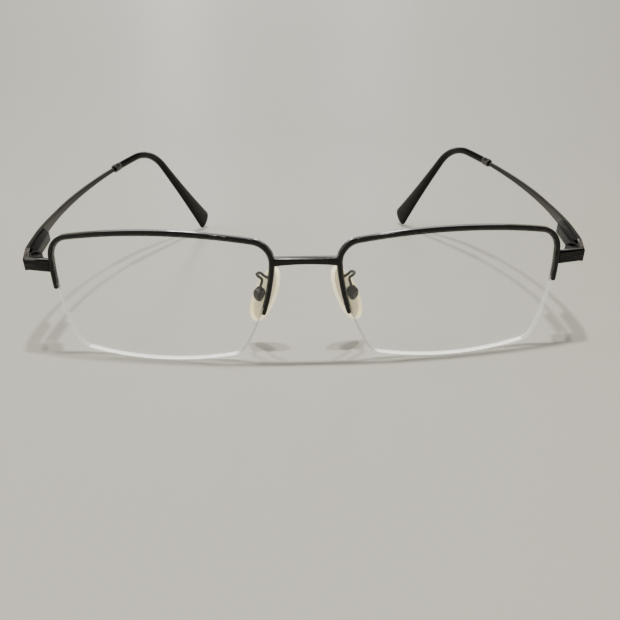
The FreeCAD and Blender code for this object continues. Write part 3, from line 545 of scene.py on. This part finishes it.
def blade_skin():
    """Flat bowed blade with softened edges."""
    skin = Skin()
    steps = 90
    rings = []
    for step in range(steps + 1):
        distance = ARM_END * step / steps
        outline = rounded_rectangle(ARM_HALF_THICKNESS, blade_height(distance) / 2, ARM_CORNER, 4)
        rings.append(section(distance, outline))
    skin.tube(rings)
    return skin


def ferrule_skin():
    """Turned collar with rounded rims and a fine groove near each end."""
    half = (FERRULE[1] - FERRULE[0]) / 2
    point, direction, up = station(FERRULE[0] + half)
    side = direction.cross(up)
    front_rim = [(-0.9, 0.84), (-1.0, 0.9), (-1.0, 1.04), (-0.95, 1.18), (-0.84, 1.27)]
    front_groove = [(-0.62, 1.3), (-0.58, 1.24), (-0.52, 1.24), (-0.48, 1.3)]
    back_groove = [(-along, radius) for along, radius in reversed(front_groove)]
    back_rim = [(0.88, 1.28), (0.97, 1.24), (1.0, 1.18), (1.0, 0.97)]
    skin = Skin()
    rings = []
    for along, radius in front_rim + front_groove + back_groove + back_rim:
        centre = point + direction * (along * half)
        rings.append([
            centre + side * (radius * math.cos(a)) + up * (radius * math.sin(a))
            for a in circle_angles(48)
        ])
    numbered = skin.tube(rings, ends=False)
    skin.bridge(numbered[-1], numbered[0])
    return skin


def tip_outline(distance):
    """Tip's cross-section: round at the neck, flatter and squarer towards the end."""
    spread = max(0.0, min(1.0, (distance - BEND_START) / (TIP_END - TIP_NOSE - BEND_START))) ** 2
    past = max(0.0, (distance - TIP_END + TIP_NOSE) / TIP_NOSE)
    rounding = math.sqrt(max(0.0, 1 - TIP_ROUNDING * past ** 2))
    half_height = (TIP_NECK + (TIP_PADDLE[0] - TIP_NECK) * spread) * rounding
    half_thickness = (TIP_NECK + (TIP_PADDLE[1] - TIP_NECK) * spread) * rounding
    power = 1 - TIP_SQUARENESS * spread
    outline = []
    for angle in circle_angles(48):
        a = math.cos(angle)
        b = math.sin(angle)
        outline.append((
            half_thickness * math.copysign(abs(a) ** power, a),
            half_height * math.copysign(abs(b) ** power, b),
        ))
    return outline


def tip_skin():
    """Plastic tip from the ferrule to its nose, with closer rings where the nose rounds off."""
    start = FERRULE[1]
    run_steps = 90
    nose_steps = 12
    run = [start + (TIP_END - TIP_NOSE - start) * i / run_steps for i in range(run_steps + 1)]
    nose = [
        TIP_END - TIP_NOSE * math.cos(math.pi / 2 * i / nose_steps)
        for i in range(1, nose_steps + 1)
    ]
    skin = Skin()
    skin.tube([section(distance, tip_outline(distance)) for distance in run + nose])
    return skin


def hinge_place():
    """Hinge frame from the record: z' on the fold axis, y' back along the temple."""
    origin = Vector(JOINTS["left_fold"]["pos_m"]) / MM
    up = Vector(JOINTS["left_fold"]["axis"]).normalized()
    back = -Vector(JOINTS["left_slide"]["axis"]).normalized()
    across = back.cross(up)
    turn = Matrix((across, back, up)).transposed().to_4x4()
    return Matrix.Translation(origin) @ turn


# Nose pads ------------------------------------------------------------------------------------

def pad_place():
    """Pad frame from the record: y' on the rocking axis, z' along the pad, x' away from the nose."""
    origin = Vector(JOINTS["left_pad_rock"]["pos_m"]) / MM
    across = Vector(JOINTS["left_pad_rock"]["axis"]).normalized()
    along = across.cross(Vector((0, 1, 0))).normalized()
    outward = across.cross(along)
    turn = Matrix((outward, across, along)).transposed().to_4x4()
    return Matrix.Translation(origin) @ turn


def nose_pad_skin():
    """Soft pad: crowned towards the nose, rolled rim, shallow hollow behind."""
    count = 72

    def ring_at(share, x):
        points = []
        for angle in circle_angles(count):
            width = PAD_HALF_WIDTH * (1 - PAD_TAPER * math.sin(angle))
            points.append(Vector((
                PAD_CENTRE + x,
                width * share * math.cos(angle),
                PAD_HALF_LENGTH * share * math.sin(angle),
            )))
        return points

    rings = []
    for share in PAD_RING_SHARES:
        rings.append(ring_at(share, -PAD_HALF_THICKNESS * (1 - share ** 2.4) ** 0.62))
    rings.append(ring_at(1.0, 0.0))
    for share in reversed(PAD_RING_SHARES):
        rim = PAD_HALF_THICKNESS * (1 - share ** 5) ** 0.5
        hollow = PAD_HOLLOW * (1 - share ** 2) ** 2
        rings.append(ring_at(share, rim - hollow))
    skin = Skin()
    skin.tube(rings)
    skin.faces = [corners[::-1] for corners in skin.faces]
    # The lip faces take the second paint, with its painted glow.
    widest = len(PAD_RING_SHARES)
    lip = range(widest - PAD_LIP_RINGS, widest + PAD_LIP_RINGS)
    skin.kinds = [1 if index // count in lip else 0 for index in range(len(skin.faces))]
    return skin


def pad_cup_skin():
    """Metal cup behind the pad: round back, rounded mouth, open towards the pad."""
    outer_corner, inner_corner = CUP_CORNERS
    mouth_depth, mouth_drop = CUP_MOUTH
    middle = CUP_FRONT + mouth_depth
    back = CUP_DEPTH - mouth_depth
    stations = []
    for angle in quarter_turn(14):
        stations.append((
            middle + back * math.cos(angle),
            CUP_HALF_HEIGHT * math.sin(angle),
            CUP_HALF_WIDTH - CUP_BACK_NARROWING * math.cos(angle) ** 2,
            outer_corner,
        ))
    for angle in quarter_turn(6):
        drop = 1 - math.cos(angle)
        stations.append((
            middle - mouth_depth * math.sin(angle),
            CUP_HALF_HEIGHT - mouth_drop * drop,
            CUP_HALF_WIDTH - CUP_MOUTH_NARROWING * drop,
            outer_corner,
        ))
    inner_width = CUP_HALF_WIDTH - CUP_WALL
    inner_height = CUP_HALF_HEIGHT - mouth_drop - CUP_LIP
    cavity_end = CUP_FRONT + CUP_CAVITY_DEPTH
    stations.append((CUP_FRONT, inner_height, inner_width, inner_corner))
    stations.append((cavity_end, CUP_CAVITY_TAPER * inner_height, inner_width, inner_corner))
    skin = Skin()
    rings = []
    for x, high, wide, corner in stations:
        outline = rounded_rectangle(wide, high, min(corner, 0.9 * high), 6)
        rings.append([Vector((x, a, b)) for a, b in outline])
    skin.tube(rings)
    skin.faces = [corners[::-1] for corners in skin.faces]
    return skin


# Materials ------------------------------------------------------------------------------------

class Paint:
    """Principled material whose colour, roughness and relief come from procedural noise."""

    def __init__(self, name, colour, **constants):
        self.material = bpy.data.materials.new(name)
        self.material.use_nodes = True
        self.tree = self.material.node_tree
        self.shader = self.tree.nodes["Principled BSDF"]
        self.space = self.tree.nodes.new("ShaderNodeTexCoord")
        for socket, value in constants.items():
            self.shader.inputs[socket.replace("_", " ")].default_value = value
        self.colour = colour

    def link(self, source, target):
        self.tree.links.new(source, target)

    def noise(self, scale, detail=4.0, stretch=(1, 1, 1)):
        """Noise in object space; scale counts waves in a metre."""
        mapping = self.tree.nodes.new("ShaderNodeMapping")
        mapping.inputs["Scale"].default_value = stretch
        texture = self.tree.nodes.new("ShaderNodeTexNoise")
        texture.inputs["Scale"].default_value = scale
        texture.inputs["Detail"].default_value = detail
        self.link(self.space.outputs["Object"], mapping.inputs["Vector"])
        self.link(mapping.outputs["Vector"], texture.inputs["Vector"])
        return texture.outputs["Fac"]

    def ramp(self, factor, stops):
        """Colour ramp through (position, colour) stops."""
        node = self.tree.nodes.new("ShaderNodeValToRGB")
        elements = node.color_ramp.elements
        while len(elements) < len(stops):
            elements.new(0.5)
        for element, (position, colour) in zip(elements, stops):
            element.position = position
            element.color = (*colour, 1.0)
        self.link(factor, node.inputs["Fac"])
        return node.outputs["Color"]

    def vary_colour(self, factor, second, low=0.35, high=0.65):
        colour = self.ramp(factor, [(low, self.colour), (high, second)])
        self.link(colour, self.shader.inputs["Base Color"])

    def vary(self, socket, factor, start, end):
        """A shader value that runs from start to end with the noise."""
        node = self.tree.nodes.new("ShaderNodeMapRange")
        node.inputs["From Min"].default_value = 0.3
        node.inputs["From Max"].default_value = 0.7
        node.inputs["To Min"].default_value = start
        node.inputs["To Max"].default_value = end
        self.link(factor, node.inputs["Value"])
        self.link(node.outputs["Result"], self.shader.inputs[socket])

    def relief(self, factor, distance, strength=0.4):
        bump = self.tree.nodes.new("ShaderNodeBump")
        bump.inputs["Distance"].default_value = distance
        bump.inputs["Strength"].default_value = strength
        self.link(factor, bump.inputs["Height"])
        self.link(bump.outputs["Normal"], self.shader.inputs["Normal"])


def gunmetal():
    """Near-black glossy lacquer over metal, a little browner where it is rubbed."""
    paint = Paint("dark_gunmetal", (0.0022, 0.0022, 0.003), IOR=1.5, Specular_IOR_Level=0.28)
    paint.vary_colour(paint.noise(700), (0.006, 0.0055, 0.005))
    paint.vary("Roughness", paint.noise(2200, 6), 0.09, 0.15)
    paint.relief(paint.noise(7000, 3), 0.000002, 0.25)
    return paint.material


def satin_gunmetal():
    """The same lacquer on the cast blocks and housings, brushed satin."""
    paint = Paint("satin_gunmetal", (0.0022, 0.0022, 0.003), IOR=1.45, Specular_IOR_Level=0.15)
    paint.vary_colour(paint.noise(700), (0.007, 0.0065, 0.006))
    paint.vary("Roughness", paint.noise(2600, 6), 0.32, 0.46)
    paint.relief(paint.noise(7000, 3), 0.000003, 0.3)
    return paint.material


def steel(name, colour, rough):
    """Turned metal with fine scratches."""
    paint = Paint(name, colour, Metallic=1.0)
    paint.vary_colour(paint.noise(1500), tuple(0.75 * c for c in colour))
    paint.vary("Roughness", paint.noise(7000, 5, (1, 6, 1)), rough * 0.7, rough * 1.3)
    paint.relief(paint.noise(12000, 2, (1, 8, 1)), 0.000003, 0.3)
    return paint.material


def clear_lens():
    """Coated lens face: nearly invisible, with faint wiped smears."""
    paint = Paint("lens_face", (0.93, 0.96, 0.97), IOR=1.5, Specular_IOR_Level=0.6)
    paint.vary_colour(paint.noise(60), (0.96, 0.96, 0.99))
    paint.vary("Alpha", paint.noise(45, 5, (1, 1, 2.5)), 0.035, 0.06)
    paint.vary("Roughness", paint.noise(140, 5), 0.03, 0.09)
    paint.relief(paint.noise(3000, 2), 0.000001, 0.1)
    return paint.material


def ground_edge(name, colours, alpha, roughness=(0.2, 0.38), **constants):
    """Finely ground lens edge; alpha says how much of it shows through the lens."""
    paint = Paint(name, colours[0], IOR=1.5, **constants)
    paint.vary_colour(paint.noise(800), colours[1])
    paint.vary("Alpha", paint.noise(500, 3), *alpha)
    paint.vary("Roughness", paint.noise(5000, 4), *roughness)
    paint.relief(paint.noise(16000, 2), 0.000004, 0.3)
    return paint


def painted_glow_edge(name, glow, cover):
    """Open lens edge with a painted glow standing in for the light that runs through the lens and comes out white.
    """
    colours = ((0.98, 0.98, 0.94), (0.92, 0.93, 0.89))
    paint = ground_edge(name, colours, (cover - 0.1, cover), Emission_Strength=glow)
    # The emission is a painted glow of light leaving the edge, not a lamp.
    paint.shader.inputs["Emission Color"].default_value = (1.0, 1.0, 0.95, 1.0)
    return paint.material


def nasal_edge():
    """Open lens edge beside the nose, seen through the lens as a faint grey line; painted dimmer than the edges
    that face the light, with no glow.
    """
    colours = ((0.80, 0.82, 0.78), (0.70, 0.72, 0.68))
    return ground_edge("lens_flank_edge", colours, (0.12, 0.22)).material


def painted_rim_shade_edge():
    """Lens edge inside the rim, painted dark for the reflection of the dark groove and the rim's shade."""
    colours = ((0.05, 0.05, 0.05), (0.09, 0.09, 0.09))
    return ground_edge("lens_covered_edge", colours, (0.02, 0.05), (0.25, 0.4)).material


def nylon(name, colour, alpha):
    """Drawn or moulded nylon; alpha is 1 where it is opaque."""
    paint = Paint(name, colour, IOR=1.53)
    paint.vary_colour(paint.noise(900), tuple(0.9 * c for c in colour))
    paint.vary("Alpha", paint.noise(700, 2), alpha * 0.9, alpha)
    paint.vary("Roughness", paint.noise(4000, 4), 0.18, 0.32)
    paint.relief(paint.noise(9000, 2), 0.000006, 0.3)
    return paint.material


def black_tip():
    """Polished black acetate with faint handling marks."""
    paint = Paint("black_acetate", (0.0012, 0.0012, 0.0012), IOR=1.42, Specular_IOR_Level=0.2)
    paint.vary_colour(paint.noise(350), (0.003, 0.003, 0.0026))
    paint.vary("Roughness", paint.noise(1800, 6), 0.18, 0.3)
    paint.relief(paint.noise(5000, 3), 0.000003, 0.3)
    return paint.material


def silicone():
    """Clear silicone, slightly yellowed; the soft middle lets more than half of the light through."""
    paint = Paint("yellowed_silicone", (0.96, 0.87, 0.52), IOR=1.41, Subsurface_Weight=0.3)
    paint.shader.inputs["Subsurface Scale"].default_value = 0.0015
    paint.vary_colour(paint.noise(300), (0.92, 0.80, 0.40))
    paint.vary("Alpha", paint.noise(250, 3), 0.3, 0.45)
    paint.vary("Roughness", paint.noise(900, 4), 0.12, 0.22)
    paint.relief(paint.noise(2200, 2), 0.000004, 0.3)
    return paint.material


def silicone_lip_painted_glow():
    """Rolled lip of the pad, where the silicone looks ivory; its emission is a painted glow for the light it
    gathers.
    """
    paint = Paint("silicone_lip_painted_glow", (1.0, 0.98, 0.84), IOR=1.41, Emission_Strength=0.75)
    paint.shader.inputs["Emission Color"].default_value = (1.0, 0.92, 0.55, 1.0)
    paint.vary_colour(paint.noise(500), (0.97, 0.86, 0.5))
    paint.vary("Alpha", paint.noise(400, 3), 0.85, 1.0)
    paint.vary("Roughness", paint.noise(900, 4), 0.15, 0.28)
    paint.relief(paint.noise(2200, 2), 0.000004, 0.3)
    return paint.material


def hard_core():
    """Clear hard core inside the pad, all but lost in the silicone."""
    paint = Paint("pad_core", (0.90, 0.87, 0.74), IOR=1.5)
    paint.vary_colour(paint.noise(600), (0.84, 0.80, 0.64))
    paint.vary("Alpha", paint.noise(900, 3), 0.2, 0.35)
    paint.vary("Roughness", paint.noise(2800, 4), 0.3, 0.45)
    paint.relief(paint.noise(6000, 3), 0.00001, 0.3)
    return paint.material


def table_top():
    """Pale matt laminate with the faintest mottling."""
    paint = Paint("pale_laminate", (0.50, 0.488, 0.44), Specular_IOR_Level=0.15)
    paint.vary_colour(paint.noise(3.0, 3), (0.52, 0.507, 0.46))
    paint.vary("Roughness", paint.noise(400, 4), 0.42, 0.52)
    paint.relief(paint.noise(2500, 3), 0.00002, 0.15)
    return paint.material


MATERIALS = {
    "frame_metal": gunmetal(),
    "hardware_steel": steel("turned_steel", (0.50, 0.50, 0.51), 0.3),
    "ferrule_metal": steel("dark_nickel", (0.11, 0.11, 0.108), 0.28),
    "lens_clear": clear_lens(),
    "cord_nylon": nylon("clear_cord", (0.90, 0.92, 0.89), 0.3),
    "liner_nylon": nylon("dark_liner", (0.05, 0.05, 0.055), 1.0),
    "tip_acetate": black_tip(),
    "pad_silicone": silicone(),
    "pad_core": hard_core(),
    "washer_nylon": nylon("washer_nylon", (0.80, 0.80, 0.77), 1.0),
}


# Pieces ---------------------------------------------------------------------------------------

def build_lenses():
    skin = lens_skin()
    place = placed_in_box(skin.points, LENS_TURN, "lens_left")
    # One ground edge in painted lighter and darker copies: glowing most at the bottom, less where it turns and
    # outwards, dim grey beside the nose, dark under the rim.
    edges = {
        BOTTOM_EDGE: painted_glow_edge("lens_bottom_edge", 0.8, 1.0),
        COVERED_EDGE: painted_rim_shade_edge(),
        NASAL_EDGE: nasal_edge(),
        FADING_EDGE: painted_glow_edge("lens_fading_edge", 0.4, 0.55),
        OUTER_EDGE: painted_glow_edge("lens_outer_edge", 0.3, 0.5),
    }
    paints = [MATERIALS["lens_clear"]] + [edges[kind] for kind in sorted(edges)]
    make_pair("lens_glass", "lens", skin, place, paints)
    make_pair("rim_wire", "rim_bar", rim_skin(), place, [MATERIALS["frame_metal"]])
    make_pair("edge_cord", "lens_cord", cord_skin(), place, [MATERIALS["cord_nylon"]])


def build_bridge():
    skin = bridge_skin()
    place = placed_in_box(skin.points, Matrix.Identity(3), "bridge")
    bar = finish_mesh("bridge_arch", skin, place, [MATERIALS["frame_metal"]])
    stand_for(bar, "bridge")


def build_temples():
    place = hinge_place()
    make_pair("temple_blade", "temple_arm", blade_skin(), place, [MATERIALS["frame_metal"]])
    make_pair("temple_collar", "ferrule", ferrule_skin(), place, [MATERIALS["ferrule_metal"]])
    make_pair("temple_sleeve", "temple_tip", tip_skin(), place, [MATERIALS["tip_acetate"]])


def build_nose_pads():
    paints = [MATERIALS["pad_silicone"], silicone_lip_painted_glow()]
    make_pair("soft_pad", "nose_pad", nose_pad_skin(), pad_place(), paints, 60.0)
    make_pair("pad_cup", "pad_box", pad_cup_skin(), pad_place(), [MATERIALS["frame_metal"]], 50.0)


def dress_cad_nodes():
    """Every CAD node gets its slot's material, or a special one, and softened edges."""
    blackened = steel("blackened_steel", (0.035, 0.035, 0.037), 0.35)
    satin = satin_gunmetal()
    special = {
        "hinge_screw": blackened, "pad_screw": blackened,
        "spring_housing": satin, "front_hinge": satin,
    }
    for name, obj in frame["nodes"].items():
        paint = special.get(name.rsplit("_", 1)[0], MATERIALS[SLOTS[name]])
        obj.data.materials.clear()
        obj.data.materials.append(paint)
        weld = obj.modifiers.new("weld", "WELD")
        weld.merge_threshold = WELD_DISTANCE * MM
        bevel = obj.modifiers.new("soft_edges", "BEVEL")
        bevel.width = SOFT_EDGE * MM
        bevel.segments = 2
        bevel.limit_method = "ANGLE"
        bevel.angle_limit = math.radians(40)
        bevel.harden_normals = True
        for polygon in obj.data.polygons:
            polygon.use_smooth = True


# Stage ----------------------------------------------------------------------------------------

def build_floor():
    """Pale round table top that curves up into a wall all round, far from the glasses."""
    around = 96
    low, _ = CAD_BOX
    profile = [(TABLE_FLAT * i / 8, 0.0) for i in range(1, 9)]
    for angle in quarter_turn(18):
        radius = TABLE_FLAT + TABLE_CURVE * math.sin(angle)
        profile.append((radius, TABLE_CURVE * (1 - math.cos(angle))))
    points = [(0.0, 0.0, low.z)]
    for radius, height in profile:
        for angle in circle_angles(around):
            points.append((radius * math.cos(angle), radius * math.sin(angle), low.z + height))
    faces = [(0, 1 + i, 1 + (i + 1) % around) for i in range(around)]
    for ring in range(len(profile) - 1):
        start = 1 + ring * around
        for i in range(around):
            following = (i + 1) % around
            faces.append((start + i, start + around + i, start + around + following, start + following))
    mesh = bpy.data.meshes.new("table_top")
    mesh.from_pydata(points, [], faces)
    mesh.materials.append(table_top())
    for polygon in mesh.polygons:
        polygon.use_smooth = True
    floor = bpy.data.objects.new("table_top", mesh)
    bpy.context.scene.collection.objects.link(floor)


def add_light(name, place, target, size, power, colour):
    light = bpy.data.lights.new(name, "AREA")
    light.shape = "RECTANGLE"
    light.size, light.size_y = size
    light.energy = power
    light.color = colour
    obj = bpy.data.objects.new(name, light)
    obj.location = place
    obj.rotation_euler = (Vector(target) - Vector(place)).to_track_quat("-Z", "Y").to_euler()
    bpy.context.scene.collection.objects.link(obj)


def build_lights():
    """Two lamps overhead, a low strip and two gleams behind, a soft lamp at the left, a pale room."""
    for light in LIGHTS:
        add_light(*light)
    world = bpy.data.worlds.new("room")
    world.use_nodes = True
    background = world.node_tree.nodes["Background"]
    background.inputs["Color"].default_value = ROOM_COLOUR
    background.inputs["Strength"].default_value = ROOM_STRENGTH
    bpy.context.scene.world = world


def build_camera():
    """Camera in front of the bridge and above it, looking down at the frame."""
    eye = Vector(CAMERA_PLACE) * MM
    yaw, pitch, roll = (math.radians(angle) for angle in CAMERA_TURNS)
    ahead = math.cos(pitch)
    forward = Vector((math.sin(yaw) * ahead, math.cos(yaw) * ahead, -math.sin(pitch)))
    level = Vector((math.cos(yaw), -math.sin(yaw), 0))
    upright = level.cross(forward)
    right = level * math.cos(roll) + upright * math.sin(roll)
    up = upright * math.cos(roll) - level * math.sin(roll)
    turn = Matrix((right, up, -forward)).transposed().to_4x4()
    data = bpy.data.cameras.new("camera")
    data.sensor_width = CAMERA_SENSOR
    data.lens = CAMERA_LENS
    data.clip_start = 0.01
    data.clip_end = 20.0
    camera = bpy.data.objects.new("camera", data)
    camera.matrix_world = Matrix.Translation(eye) @ turn
    bpy.context.scene.collection.objects.link(camera)
    bpy.context.scene.camera = camera


build_lenses()
build_bridge()
build_temples()
build_nose_pads()
dress_cad_nodes()
build_floor()
build_lights()
build_camera()
